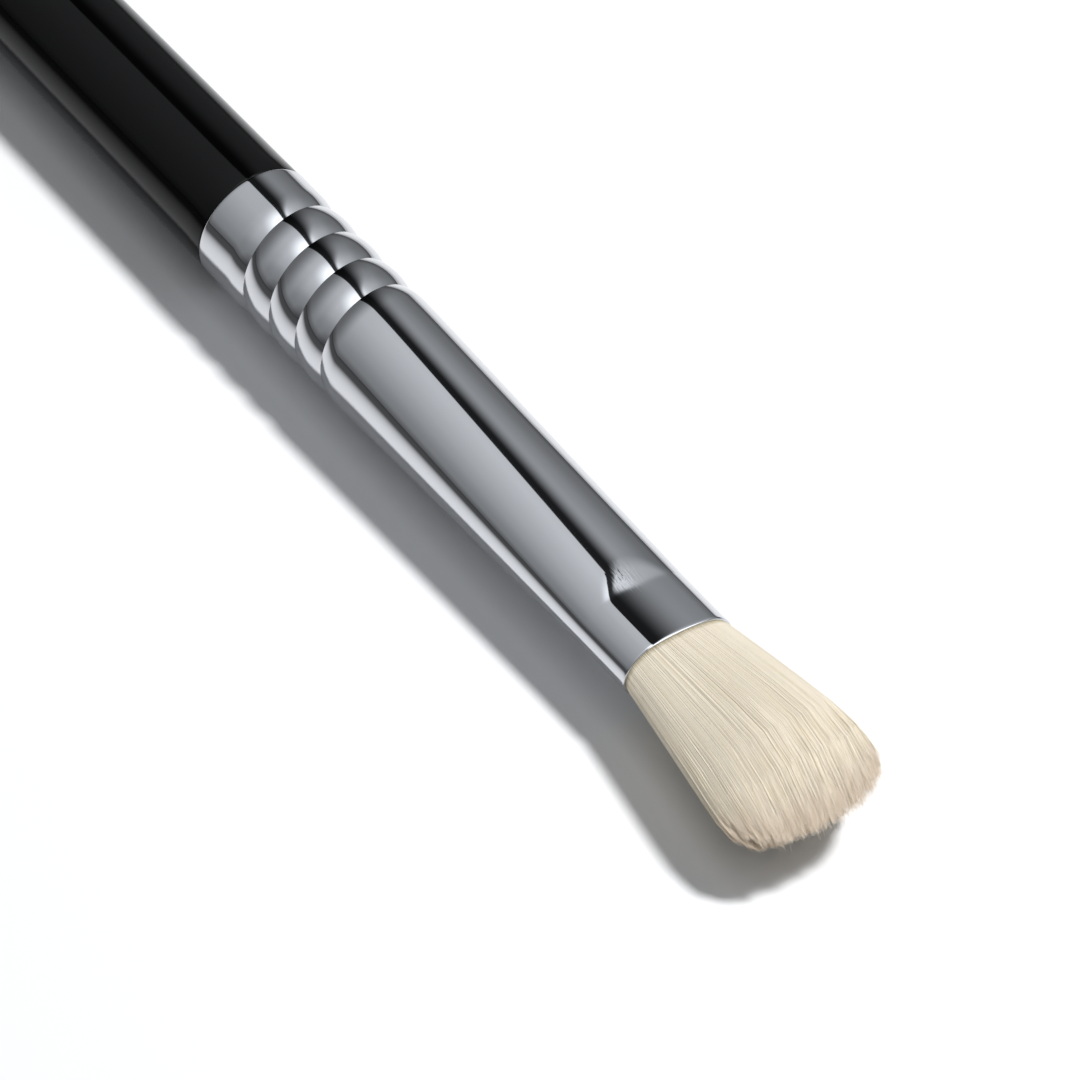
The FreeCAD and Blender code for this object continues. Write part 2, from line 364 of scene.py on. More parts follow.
def bright_plate(settings):
    """Bright plating with polish haze, and fine draw marks where the jaws pressed."""
    mark_back, mark_near, mark_length, mark_width = 0.0008, 0.0002, 0.0008, 0.0007
    draw_scale, haze_scale = 5200.0, 260.0
    haze_blur, draw_blur, relief = 0.02, 0.12, 0.00003
    material, graph, place = new_finish("bright_plate")
    axes = graph.axes(place)
    along = (axes["X"] - (JOINT.x + settings.press_place - mark_back)) / mark_length
    across = (axes["Y"] + mark_near) / mark_width
    near_press = graph.math("EXPONENT", 0 - (along * along + across * across))
    draw = graph.noise(graph.grain(place, 0.12), draw_scale, 2.0)
    haze = graph.noise(place, haze_scale, 4.0)
    hazy = [value * 0.97 for value in settings.plate]
    surface(graph, {
        "Base Color": graph.blend(haze, settings.plate, hazy),
        "Metallic": 1.0,
        "Roughness": settings.roughness + haze_blur * haze + draw_blur * near_press * draw,
        "Normal": bump(graph, draw * near_press, relief),
    })
    return material


def cured_glue():
    """Hazy straw glue with small bubbles."""
    straw, dull_straw = (0.78, 0.72, 0.55), (0.62, 0.54, 0.36)
    bubble_scale, cloud_scale, relief = 3000.0, 900.0, 0.00004
    material, graph, place = new_finish("cured_glue")
    bubbles = graph.node("ShaderNodeTexVoronoi", {"Vector": place, "Scale": bubble_scale})
    cloud = graph.noise(place, cloud_scale, 4.0)
    surface(graph, {
        "Base Color": graph.blend(cloud, straw, dull_straw),
        "Roughness": 0.35 + 0.3 * cloud,
        "Normal": bump(graph, bubbles["Distance"], relief),
    })
    return material


def potting_resin():
    """Amber resin that has crept up between the roots."""
    amber, dark_amber = (0.55, 0.4, 0.2), (0.3, 0.18, 0.07)
    streak_scale, relief = 2600.0, 0.00003
    material, graph, place = new_finish("potting_resin")
    streaks = graph.noise(graph.grain(place, 0.1), streak_scale, 3.0)
    surface(graph, {
        "Base Color": graph.blend(streaks, amber, dark_amber),
        "Roughness": 0.12 + 0.2 * streaks,
        "Normal": bump(graph, streaks, relief),
    })
    return material


def cream_hair(settings):
    """Natural hair: cream with straw locks, each hair a little different, with painted shade
    darkening the roots by the lip.
    """
    tint_share, lock_share, warm_low, warm_high = 0.4, 0.8, 0.6, 1.1
    lock_scale, root_shade_end, tip_start = 1500.0, 0.025, 0.88
    material, graph, place = new_finish("cream_hair")
    tint = graph.node("ShaderNodeAttribute", attribute_name="tint")["Fac"]
    along = graph.node("ShaderNodeAttribute", attribute_name="along")["Fac"]
    locks = graph.noise(graph.grain(place, 0.08), lock_scale, 2.0)
    warm = graph.smooth(tint * tint_share + locks * lock_share, warm_low, warm_high)
    base = graph.blend(warm, settings.cream, settings.straw)
    # Painted shade: just above the lip the hairs darken to the root colour, standing in for the
    # ferrule's shade.
    base = graph.blend(graph.smooth(along, 0.0, root_shade_end), settings.root, base)
    warm_tip = graph.smooth(along, tip_start, 1.0)
    surface(graph, {
        "Base Color": graph.blend(warm_tip, base, settings.tip),
        "Roughness": 0.5 + 0.2 * tint,
        "IOR": 1.4,
        "Specular IOR Level": 0.25,
    })
    return material


def white_floor(settings):
    """Pale matt floor that reads as white and keeps the shadow.

    Mirrored in the plate, it fades out towards both sides, as the tent's skirt does."""
    near_most, near_start, near_end = 0.92, 0.006, 0.03
    far_most, far_start, far_end = 0.45, 0.01, 0.09
    material, graph, place = new_finish("white_floor")
    rays = graph.node("ShaderNodeLightPath")
    seen = graph.math("MAXIMUM", rays["Is Camera Ray"], rays["Is Glossy Ray"])
    seen = graph.math("MAXIMUM", seen, rays["Is Transmission Ray"])
    across = graph.axes(place)["Y"]
    near_fade = near_most * graph.smooth(0 - across, near_start, near_end)
    far_fade = far_most * graph.smooth(across, far_start, far_end)
    fade = rays["Is Glossy Ray"] * (near_fade + far_fade)
    surface(graph, {
        "Base Color": graph.blend(fade, settings.floor, BLACK),
        "Roughness": 0.9,
        "Specular IOR Level": 0.0,
        "Emission Color": graph.blend(seen, BLACK, WHITE),
        "Emission Strength": settings.floor_glow,
    })
    return material


def new_piece(name, mesh, material):
    """A finished piece of the brush, riding on its only body."""
    piece = bpy.data.objects.new(name, mesh)
    bpy.context.scene.collection.objects.link(piece)
    if not mesh.materials:
        mesh.materials.append(material)
    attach(piece, BODY)
    return piece


def finished_mesh(name, points, faces):
    """A smooth shaded mesh from its points and faces."""
    mesh = bpy.data.meshes.new(name)
    mesh.from_pydata(points, [], faces)
    mesh.validate()
    mesh.polygons.foreach_set("use_smooth", [True] * len(mesh.polygons))
    mesh.update()
    return mesh


def sharpen(mesh, rings, segments):
    """Keeps the edges of the given rings crisp."""
    for edge in mesh.edges:
        first, second = (number // segments for number in edge.vertices)
        if first == second and first in rings:
            edge.use_edge_sharp = True


def band_faces(first, second, count, closed=True):
    """Faces between two rings of count points that start at the given numbers."""
    faces = []
    for index in range(count if closed else count - 1):
        after = (index + 1) % count
        faces.append((first + index, first + after, second + after, second + index))
    return faces


def zipped_faces(first, second):
    """Triangles between two columns of points, each listed as place and number, in order."""
    faces = []
    left, right = 0, 0
    while left < len(first) - 1 or right < len(second) - 1:
        left_next = first[left + 1][0] if left < len(first) - 1 else math.inf
        right_next = second[right + 1][0] if right < len(second) - 1 else math.inf
        if left_next < right_next:
            faces.append((first[left][1], second[right][1], first[left + 1][1]))
            left += 1
        else:
            faces.append((first[left][1], second[right][1], second[right + 1][1]))
            right += 1
    return faces


def turned_mesh(name, profile, segments):
    """A closed turned shape about the brush's axis, from its profile, pole to pole."""
    points = [JOINT + Vector((profile[0][0], 0.0, 0.0))]
    for place, radius in profile[1:-1]:
        for index in range(segments):
            angle = 2 * math.pi * index / segments
            points.append(
                JOINT + Vector((place, radius * math.sin(angle), radius * math.cos(angle)))
            )
    points.append(JOINT + Vector((profile[-1][0], 0.0, 0.0)))
    rings = len(profile) - 2
    last = len(points) - 1
    final_ring = 1 + (rings - 1) * segments
    faces = [(0, 1 + (i + 1) % segments, 1 + i) for i in range(segments)]
    for ring in range(rings - 1):
        faces += band_faces(1 + ring * segments, 1 + (ring + 1) * segments, segments)
    faces += [(last, final_ring + i, final_ring + (i + 1) % segments) for i in range(segments)]
    return finished_mesh(name, points, faces)


def spread(first, last, count):
    """Evenly spaced numbers, both ends included."""
    return [first + (last - first) * index / (count - 1) for index in range(count)]


def eased(value, low, high):
    """Goes smoothly from 0 at low to 1 at high."""
    part = min(max((value - low) / (high - low), 0.0), 1.0)
    return part * part * (3.0 - 2.0 * part)


def thread_turn(index):
    """Turns by which the thread is ahead of the top of the tube at a point of a ring."""
    return 0.5 - index / TUBE_SEGMENTS


def thread_lead(place, ferrule):
    """Advance of a row of the mesh in one turn: the thread's near it, and none at the ends."""
    blend = ferrule.thread_run * LEAD_RUNS
    into = (place - ferrule.rim_round) / blend
    out = (ferrule.thread_end + ferrule.thread_pitch - place) / blend
    return ferrule.thread_pitch * min(max(min(into, out), 0.0), 1.0)


def thread_dip(place, turn, ferrule):
    """Depth of the rolled thread below the tube's skin: round beads with sharp valleys."""
    half, depth = ferrule.thread_pitch / 2, ferrule.thread_depth
    bead_radius = (half * half + depth * depth) / (2 * depth)
    first = ferrule.first_valley + turn * ferrule.thread_pitch
    valley = first + round((place - first) / ferrule.thread_pitch) * ferrule.thread_pitch
    offset = half - abs(place - valley)
    dip = bead_radius - math.sqrt(bead_radius * bead_radius - offset * offset)
    start, end, run = ferrule.thread_start, ferrule.thread_end, ferrule.thread_run
    return dip * eased(valley, start, start + run) * (1.0 - eased(valley, end - run, end))


def soft_ramp(run, blend):
    """Zero before the start, then a straight rise, with a soft corner."""
    return (run + math.sqrt(run * run + blend * blend)) / 2


def soft_least(first, second, blend):
    """The smaller of two numbers, with the corner between them rounded."""
    mix = min(max(0.5 + 0.5 * (second - first) / blend, 0.0), 1.0)
    return second + (first - second) * mix - blend * mix * (1.0 - mix)


def tube_section(place, ferrule):
    """Half width and half thickness of the tube before thread and jaws mark it."""
    run = ferrule.press_place - ferrule.round_length
    part = min(soft_ramp(place - ferrule.round_length, ferrule.taper_blend) / run, 1.0)
    half_width = FERRULE_RADIUS + (ferrule.full_half_width - FERRULE_RADIUS) * part
    half_thickness = FERRULE_RADIUS + (ferrule.full_half_thickness - FERRULE_RADIUS) * part
    return half_width, half_thickness


def pressed(place, across, height, ferrule):
    """Height of the tube's skin where the jaws have flattened it."""
    jaw = ferrule.jaw_half_gap - across * across / (2 * ferrule.jaw_radius)
    jaw += soft_ramp(ferrule.press_place - place, PRESS_RAMP_BLEND) * ferrule.jaw_ramp
    return math.copysign(soft_least(abs(height), max(jaw, 0.0), ferrule.jaw_blend), height)


def tube_ring(place, inset, ferrule):
    """One ring of the tube's skin, inset from the outside, with its points spaced by slope.

    On the outside, rings near the thread run along it and carry its beads and valleys."""
    outside = inset == 0.0
    lead = thread_lead(place, ferrule) if outside else 0.0
    ring = []
    for index in range(TUBE_SEGMENTS):
        turn = thread_turn(index)
        spot = place + lead * turn
        sunk = thread_dip(spot, turn, ferrule) if outside else inset
        half_width, half_thickness = (size - sunk for size in tube_section(spot, ferrule))
        angle = 2 * math.pi * index / TUBE_SEGMENTS - math.pi
        side, top = half_width * math.sin(angle), half_thickness * math.cos(angle)
        reach = math.hypot(side, top)
        across, height = half_width * side / reach, half_thickness * top / reach
        if spot > ferrule.thread_end + ferrule.thread_pitch:
            height = math.copysign(
                abs(pressed(spot, across, abs(height) + inset, ferrule)) - inset, height
            )
        ring.append(JOINT + Vector((spot, across, height)))
    return ring


def corner(place, direction, radius, steps):
    """Rings of a rounded edge: places along the axis and insets, from the skin to the end face."""
    return [
        (place + direction * radius * math.sin(angle), radius * (1.0 - math.cos(angle)))
        for angle in spread(0.0, math.pi / 2, steps)
    ]


def ferrule_rings(ferrule):
    """Places and insets of all rings, once round the wall's own outline."""
    rim, lip, wall, edge = ferrule.rim_round, ferrule.lip_round, ferrule.wall, ferrule.lip_wall
    pitch, run = ferrule.thread_pitch, ferrule.thread_run
    step = pitch / BEAD_STEPS
    before = int((ferrule.first_valley - rim - run) / step)
    thread_back = ferrule.first_valley - before * step
    thread_front = ferrule.thread_end + pitch
    bead_rows = int((thread_front - thread_back - run) / step)
    press_start = ferrule.press_place - PRESS_FINE_BEFORE
    press_end = ferrule.press_place + PRESS_FINE_AFTER
    deep = wall + ferrule.thread_depth
    last_valley = ferrule.thread_end - pitch / 2
    lip_start = FERRULE_LENGTH - lip
    thinning = FERRULE_LENGTH - THINNED_LIP_WALLS * edge
    rings = corner(rim, -1, rim, EDGE_STEPS)[::-1]
    rings += [(place, 0.0) for place in spread(rim, thread_back, COLLAR_RINGS)[1:-1]]
    rings += [(thread_back + row * step, 0.0) for row in range(bead_rows + 1)]
    for first, last, count in (
        (rings[-1][0], thread_front, RUN_OUT_RINGS),
        (thread_front, press_start, TAPER_RINGS),
        (press_start, press_end, PRESS_RINGS),
        (press_end, lip_start, BAND_RINGS),
    ):
        rings += [(place, 0.0) for place in spread(first, last, count)[1:]]
    rings += corner(lip_start, 1, lip, LIP_STEPS)[1:]
    rings += [(FERRULE_LENGTH, edge - lip / 2), (FERRULE_LENGTH - lip / 2, edge)]
    rings += [(place, wall) for place in spread(thinning, last_valley, MOUTH_BORE_RINGS)]
    rings += [(place, deep) for place in spread(last_valley - wall, 0.0, TENON_BORE_RINGS)]
    return rings


def valley_rings(rings, ferrule):
    """Numbers of the outer rings that lie in the thread's valley."""
    numbers = set()
    whole_turns = range(THREAD_TURNS + 1)
    for number, (place, inset) in enumerate(rings):
        turns = (place - ferrule.first_valley) / ferrule.thread_pitch
        if inset == 0.0 and round(turns) in whole_turns and abs(turns - round(turns)) < 0.001:
            numbers.add(number)
    return numbers


class BRUSH_OT_handle(bpy.types.Operator):
    """Turn the wooden handle and lacquer it"""

    bl_idname = "brush.handle"
    bl_label = "Handle"

    def execute(self, context):
        handle = context.scene.brush_handle
        ferrule = context.scene.brush_ferrule
        shoulder = FERRULE_RADIUS - handle.step
        tail = handle.tail_radius
        tail_place = TAIL_END + tail
        profile = [
            (tail_place - tail * math.cos(angle), tail * math.sin(angle))
            for angle in spread(0.0, math.pi / 2, TAIL_STEPS)
        ]
        flank_end = -handle.shoulder_round
        for part in spread(0.0, 1.0, FLANK_STEPS)[1:]:
            place = tail_place + (flank_end - tail_place) * part
            swell = 4 * handle.bulge * part * (1 - part)
            profile.append((place, tail + (shoulder - tail) * part + swell))
        shoulder_edge = corner(flank_end, 1, handle.shoulder_round, EDGE_STEPS)[1:]
        profile += [(place, shoulder - inset) for place, inset in shoulder_edge]
        hidden = ferrule.wall + handle.tenon_clearance
        nose = TENON_END - handle.nose_length
        tenon = FERRULE_RADIUS - hidden - ferrule.thread_depth
        profile += [(place, tenon) for place in spread(0.0, nose, TENON_STEPS)]
        nose_radius = FERRULE_RADIUS - hidden - handle.nose_taper
        profile += [(TENON_END, nose_radius), (TENON_END, 0.0)]
        mesh = turned_mesh("lacquered_handle", profile, WOOD_SEGMENTS)
        piece = new_piece("lacquered_handle", mesh, black_lacquer(handle))
        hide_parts("handle")
        return {"FINISHED"}


class BRUSH_OT_ferrule(bpy.types.Operator):
    """Roll the thread into the plated tube, taper it and press its mouth"""

    bl_idname = "brush.ferrule"
    bl_label = "Ferrule"

    def execute(self, context):
        ferrule = context.scene.brush_ferrule
        rings = ferrule_rings(ferrule)
        slanted = [
            number for number, (place, inset) in enumerate(rings)
            if inset == 0.0 and thread_lead(place, ferrule) > 0.0
        ]
        first_row, last_row = slanted[0] - 1, slanted[-1] + 1
        points, faces = [], []
        for number, (place, inset) in enumerate(rings):
            points += tube_ring(place, inset, ferrule)
            after = (number + 1) % len(rings)
            closed = not first_row <= number < last_row
            faces += band_faces(
                number * TUBE_SEGMENTS, after * TUBE_SEGMENTS, TUBE_SEGMENTS, closed
            )
        # Where the slanted rows have gone once round, each meets the row one turn further on.
        columns = []
        for index in (TUBE_SEGMENTS - 1, 0):
            numbers = [row * TUBE_SEGMENTS + index for row in range(first_row, last_row + 1)]
            columns.append([(points[number].x, number) for number in numbers])
        faces += zipped_faces(*columns)
        mesh = finished_mesh("plated_ferrule", points, faces)
        sharpen(mesh, valley_rings(rings, ferrule), TUBE_SEGMENTS)
        piece = new_piece("plated_ferrule", mesh, bright_plate(ferrule))
        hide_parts("ferrule")
        return {"FINISHED"}


class BRUSH_OT_bonds(bpy.types.Operator):
    """Finish the hidden glue and resin, which keep their CAD shapes"""

    bl_idname = "brush.bonds"
    bl_label = "Glue and Resin"

    def execute(self, context):
        for node, material in (("handle_glue", cured_glue()), ("hair_resin", potting_resin())):
            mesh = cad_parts[node].data
            mesh.materials.clear()
            mesh.materials.append(material)
        return {"FINISHED"}


# Turn from one hair's root to the next, which spreads them evenly over the section.
GOLDEN_ANGLE = math.pi * (3.0 - math.sqrt(5.0))

# Scatter of the roots, as a share of the section and as an angle.
ROOT_SCATTER = 0.006
TURN_SCATTER = 0.01

# Crowding of a hair's joints towards its tip, and how late its own length begins to tell.
JOINT_CROWDING = 1.5
LENGTH_LATENESS = 5

# Outline of the rim: the span that it rounds off, and how square it is on the two sides.
RIM_SPAN = 0.985
FAR_SQUARENESS = 2.3
NEAR_EXTRA_SQUARENESS = 1.3
NEAR_CORNER = 0.6

# Noise over the section that gathers hairs in points and in locks.
POINT_SCALE = 12.0
POINT_LOW, POINT_HIGH = 0.35, 0.65
LOCK_SCALE = 5.0
LOCK_MIDDLE, LOCK_NEAR = 0.25, 0.75

# Height in the section below which the hairs get shorter.
UNDERCUT_TOP = 0.15

# Where the hairs begin to curve in, how suddenly, and how far they close.
BEND_START = 0.52
BEND_POWER = 2.2
CLOSING = 0.8

# Squareness of the pressed mouth, and how thin a hair's tip is drawn.
MOUTH_SQUARENESS = 0.25
TIP_THINNING = 0.85

# Seeds between one group of hairs and the next.
SEED_STEP = 100

HairGroup = namedtuple("HairGroup", "name hairs inner outer strayness thickness extra")

# Inputs of the hair tree: settings that it takes as they are, sizes worked out for it, the rest.
PLAIN_INPUTS = (
    "Dome Length", "Mouth Half Width", "Mouth Half Thickness", "Full Half Width",
    "Full Half Thickness", "Shortness", "Point Depth", "Undercut", "Overhang", "Droop", "Clump",
    "Lean",
)
MADE_INPUTS = (
    "Root Place", "Mouth Place", "Full Place", "Axis Height", "Inner Share", "Outer Share",
    "Jitter", "Hair Radius", "Extra Length",
)
OTHER_INPUTS = {"Hairs": "NodeSocketInt", "Seed": "NodeSocketInt", "Material": "NodeSocketMaterial"}


def hair_tree():
    """Geometry nodes that grow one group of hairs from the ferrule's mouth to the dome."""
    tree = bpy.data.node_groups.new("brush_hairs", "GeometryNodeTree")
    tree.interface.new_socket("Geometry", in_out="OUTPUT", socket_type="NodeSocketGeometry")
    kinds = dict.fromkeys(PLAIN_INPUTS + MADE_INPUTS, "NodeSocketFloat") | OTHER_INPUTS
    for name, kind in kinds.items():
        tree.interface.new_socket(name, in_out="INPUT", socket_type=kind)
    graph = Graph(tree)
    sizes = graph.node("NodeGroupInput")

    def draw(low, high, number):
        """A random number for each hair."""
        inputs = {"Min": low, "Max": high, "Seed": sizes["Seed"] + number}
        return graph.node("FunctionNodeRandomValue", inputs, data_type="FLOAT")

    def keep(geometry, name, value, kind="FLOAT"):
        """Stores a value on the hairs by name."""
        inputs = {"Geometry": geometry, "Name": name, "Value": value}
        return graph.node("GeometryNodeStoreNamedAttribute", inputs, data_type=kind)

    def kept(name, kind="FLOAT"):
        """Reads a value back from the hairs."""
        return graph.node("GeometryNodeInputNamedAttribute", {"Name": name}, data_type=kind)

    def vector(x, y, z):
        return graph.node("ShaderNodeCombineXYZ", {"X": x, "Y": y, "Z": z})

    inner, outer = sizes["Inner Share"], sizes["Outer Share"]
    number = graph.node("GeometryNodeInputIndex")
    filled = (number + 0.5) / sizes["Hairs"]
    reach = (inner * inner + (outer * outer - inner * inner) * filled) ** 0.5
    reach = reach + draw(-ROOT_SCATTER, ROOT_SCATTER, 1)
    turn = number * GOLDEN_ANGLE + draw(-TURN_SCATTER, TURN_SCATTER, 2)
    side = reach * graph.math("SINE", turn)
    top = reach * graph.math("COSINE", turn)
    roots = graph.node("GeometryNodePoints", {"Count": sizes["Hairs"]})
    roots = keep(roots, "section", vector(side, top, reach), "FLOAT_VECTOR")
    roots = keep(roots, "tint", draw(0.0, 1.0, 3))
    roots = keep(roots, "cut", draw(0.0, 1.0, 4))
    roots = keep(roots, "stray", vector(draw(-1.0, 1.0, 5), draw(-1.0, 1.0, 6), 0.0), "FLOAT_VECTOR")

    line = graph.node("GeometryNodeCurvePrimitiveLine", {"End": (1.0, 0.0, 0.0)})
    line = graph.node(
        "GeometryNodeResampleCurve", {"Curve": line, "Count": HAIR_STEPS + 1}, mode="COUNT"
    )
    hairs = graph.node("GeometryNodeInstanceOnPoints", {"Points": roots, "Instance": line})
    hairs = graph.node("GeometryNodeRealizeInstances", {"Geometry": hairs})

    spot = kept("section", "FLOAT_VECTOR")
    section = graph.axes(spot)
    stray = graph.axes(kept("stray", "FLOAT_VECTOR"))
    step = graph.node("GeometryNodeSplineParameter")["Factor"] * HAIR_STEPS
    hidden = graph.math("MINIMUM", step, 1.0)
    # The joints of a hair lie closer together towards its tip.
    along = graph.math("MAXIMUM", step - 1, 0.0) / (HAIR_STEPS - 1)
    along = 1 - (1 - along) ** JOINT_CROWDING

    # The rim's outline is round on the far side and has a tighter corner on the near side.
    rim_share = graph.math("ABSOLUTE", section["X"]) * RIM_SPAN
    near_side = graph.smooth(0 - section["X"], 0.0, NEAR_CORNER)
    square = FAR_SQUARENESS + NEAR_EXTRA_SQUARENESS * near_side
    dome = (1 - rim_share ** square) ** (1 / square)
    cut = kept("cut")
    # Neighbouring hairs end together in points.
    points = graph.noise(spot, POINT_SCALE, 0.0)
    gap = graph.smooth(points, POINT_LOW, POINT_HIGH)
    rim = sizes["Full Place"] + sizes["Dome Length"] * dome
    tip = rim - sizes["Shortness"] * cut - sizes["Point Depth"] * gap
    tip = tip + sizes["Extra Length"] * (1 - cut)
    # The hairs below the middle are shorter, so that the upper ones make the rim.
    tip = tip - sizes["Undercut"] * graph.math("MAXIMUM", UNDERCUT_TOP - section["Y"], 0.0)
    tip = tip + sizes["Overhang"] * graph.math("MAXIMUM", section["Y"], 0.0)
    mouth = sizes["Mouth Place"]
    # A hair is short or long only in its last part, so that neighbours bend side by side.
    place = sizes["Root Place"] + (mouth - sizes["Root Place"]) * hidden + (rim - mouth) * along
    place = place + (tip - rim) * along ** LENGTH_LATENESS
    flare = (place - mouth) / (sizes["Full Place"] - mouth)
    flare = graph.math("MINIMUM", graph.math("MAXIMUM", flare, 0.0), 1.0)
    # Towards the tips the hairs curve in to the middle of the thickness.
    end = sizes["Full Place"] + sizes["Dome Length"]
    over = graph.math("MAXIMUM", (place - mouth) / (end - mouth) - BEND_START, 0.0)
    bend = (over / (1 - BEND_START)) ** BEND_POWER
    closing = 1 - CLOSING * bend

    def half(name):
        """Half width or half thickness of the tuft at a joint."""
        mouth_half, full_half = sizes["Mouth Half " + name], sizes["Full Half " + name]
        return mouth_half + (full_half - mouth_half) * flare

    # The pressed mouth is squarer than an oval.
    squarer = 1 + MOUTH_SQUARENESS * section["X"] * section["X"] * (1 - flare)

    # Locks drift apart most on the near side.
    lock = graph.axes(graph.noise(spot, LOCK_SCALE, 1.0)["Color"])
    grow = along * along
    loose = graph.math("MAXIMUM", LOCK_MIDDLE - LOCK_NEAR * section["X"], 0.0)
    clump = sizes["Clump"] * loose
    across = section["X"] * half("Width")
    across = across + grow * (clump * (lock["X"] - 0.5) + sizes["Jitter"] * stray["X"])
    across = across - grow * sizes["Lean"]
    height = sizes["Axis Height"] + section["Y"] * half("Thickness") * squarer * closing
    height = height + grow * (clump * (lock["Y"] - 0.5) + sizes["Jitter"] * stray["Y"])
    height = height - sizes["Droop"] * bend
    hairs = keep(hairs, "along", along)
    hairs = graph.node(
        "GeometryNodeSetPosition", {"Geometry": hairs, "Position": vector(place, across, height)}
    )

    thin = sizes["Hair Radius"] * (1 - TIP_THINNING * kept("along") ** 3)
    ring = graph.node(
        "GeometryNodeCurvePrimitiveCircle", {"Resolution": HAIR_SIDES, "Radius": 1.0}
    )
    skin = graph.node("GeometryNodeCurveToMesh", {
        "Curve": hairs, "Profile Curve": ring, "Scale": thin, "Fill Caps": True
    })
    skin = graph.node("GeometryNodeSetShadeSmooth", {"Geometry": skin})
    skin = graph.node("GeometryNodeRealizeInstances", {"Geometry": skin})
    skin = graph.node(
        "GeometryNodeSetMaterial", {"Geometry": skin, "Material": sizes["Material"]}
    )
    graph.node("NodeGroupOutput", {"Geometry": skin})
    return tree


def grown_mesh(name, tree, values):
    """Runs a tree on an empty host, and gives its result as a plain mesh."""
    host = bpy.data.objects.new(name, bpy.data.meshes.new(name))
    bpy.context.scene.collection.objects.link(host)
    grower = host.modifiers.new("grow", "NODES")
    grower.node_group = tree
    for item in tree.interface.items_tree:
        if item.in_out == "INPUT":
            grower[item.identifier] = values[item.name]
    depsgraph = bpy.context.evaluated_depsgraph_get()
    mesh = bpy.data.meshes.new_from_object(host.evaluated_get(depsgraph), depsgraph=depsgraph)
    host.modifiers.remove(grower)
    bpy.data.objects.remove(host)
    if not mesh.polygons:
        raise RuntimeError(f"{name} grew no hairs")
    return mesh


class BRUSH_OT_hair(bpy.types.Operator):
    """Grow the tuft of hair in groups from its core to its stray hairs"""

    bl_idname = "brush.hair"
    bl_label = "Hair"

    def execute(self, context):
        hair = context.scene.brush_hair
        material = cream_hair(hair)
        tree = hair_tree()
        common = {name: getattr(hair, name.lower().replace(" ", "_")) for name in PLAIN_INPUTS}
        common |= {
            "Root Place": JOINT.x + ROOT_END + ROOT_INSET,
            "Mouth Place": FERRULE_HIGH.x,
            "Full Place": TUFT_HIGH.x - hair.dome_length,
            "Axis Height": JOINT.z,
            "Material": material,
        }
        # Name, hairs, inner and outer share of the section, strayness, thickness, extra length.
        groups = (
            HairGroup("tuft_core", hair.core_count, 0.0, 0.86, 1.0, 1.9, 0.0),
            HairGroup("tuft_under", hair.shell_count, 0.78, 0.94, 1.0, 1.3, 0.0),
            HairGroup("tuft_middle", hair.shell_count, 0.88, 0.98, 1.0, 1.2, 0.0),
            HairGroup("tuft_shell", hair.shell_count, 0.94, 1.0, 1.0, 1.2, 0.0),
            HairGroup("tuft_wisps", hair.wisp_count, 0.55, 1.0, 1.5, 1.2, hair.wisp_length),
            HairGroup("tuft_strays", hair.stray_count, 0.9, 1.0, 4.0, 1.1, hair.wisp_length),
        )
        for number, group in enumerate(groups):
            values = common | {
                "Hairs": group.hairs,
                "Seed": hair.seed + SEED_STEP * number,
                "Inner Share": group.inner,
                "Outer Share": group.outer,
                "Jitter": hair.jitter * group.strayness,
                "Hair Radius": hair.hair_radius * group.thickness,
                "Extra Length": group.extra,
            }
            mesh = grown_mesh(group.name, tree, values)
            piece = new_piece(group.name, mesh, material)
            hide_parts("bristle_tuft")
            bpy.data.collections["front_lights"].objects.link(piece)
            left_out = bpy.data.collections["key_leaves_out"]
            left_out.objects.link(piece)
            left_out.collection_objects[-1].light_linking.link_state = "EXCLUDE"
        return {"FINISHED"}


# Camera's sensor in millimetres, and its range of sight, the floor and the lamps in metres.
SENSOR_WIDTH = 36.0
NEAREST, FARTHEST = 0.01, 20.0
FLOOR_REACH = 3.0
LAMP_TARGET = 0.03
LAMP_DISTANCE = 0.6


def view_axes(stage):
    """Right, down and forward directions of the camera."""
    level, turn = stage.elevation, stage.azimuth
    back = Vector((
        math.cos(level) * math.cos(turn), -math.cos(level) * math.sin(turn), math.sin(level)
    ))
    right = Vector((math.sin(turn), math.cos(turn), 0.0))
    forward = -back
    down = forward.cross(right)
    cosine, sine = math.cos(stage.roll), math.sin(stage.roll)
    return right * cosine - down * sine, right * sine + down * cosine, forward


def place_camera(stage):
    """Camera at the photograph's viewing angle."""
    right, down, forward = view_axes(stage)
    data = bpy.data.cameras.new("camera")
    data.lens = stage.lens
    data.sensor_width = SENSOR_WIDTH
    data.clip_start, data.clip_end = NEAREST, FARTHEST
    camera = bpy.data.objects.new("camera", data)
    turn = Matrix((right, -down, -forward)).transposed()
    offset = right * stage.joint_right + down * stage.joint_down + forward * stage.distance
    camera.matrix_world = Matrix.Translation(JOINT - offset) @ turn.to_4x4()
    bpy.context.scene.collection.objects.link(camera)
    bpy.context.scene.camera = camera


def lay_floor(stage):
    """A wide floor under the brush."""
    signs = ((-1, -1), (1, -1), (1, 1), (-1, 1))
    corners = [(x * FLOOR_REACH, y * FLOOR_REACH, 0.0) for x, y in signs]
    mesh = bpy.data.meshes.new("floor")
    mesh.from_pydata(corners, [], [(0, 1, 2, 3)])
    mesh.materials.append(white_floor(stage))
    floor = bpy.data.objects.new("floor", mesh)
    bpy.context.scene.collection.objects.link(floor)


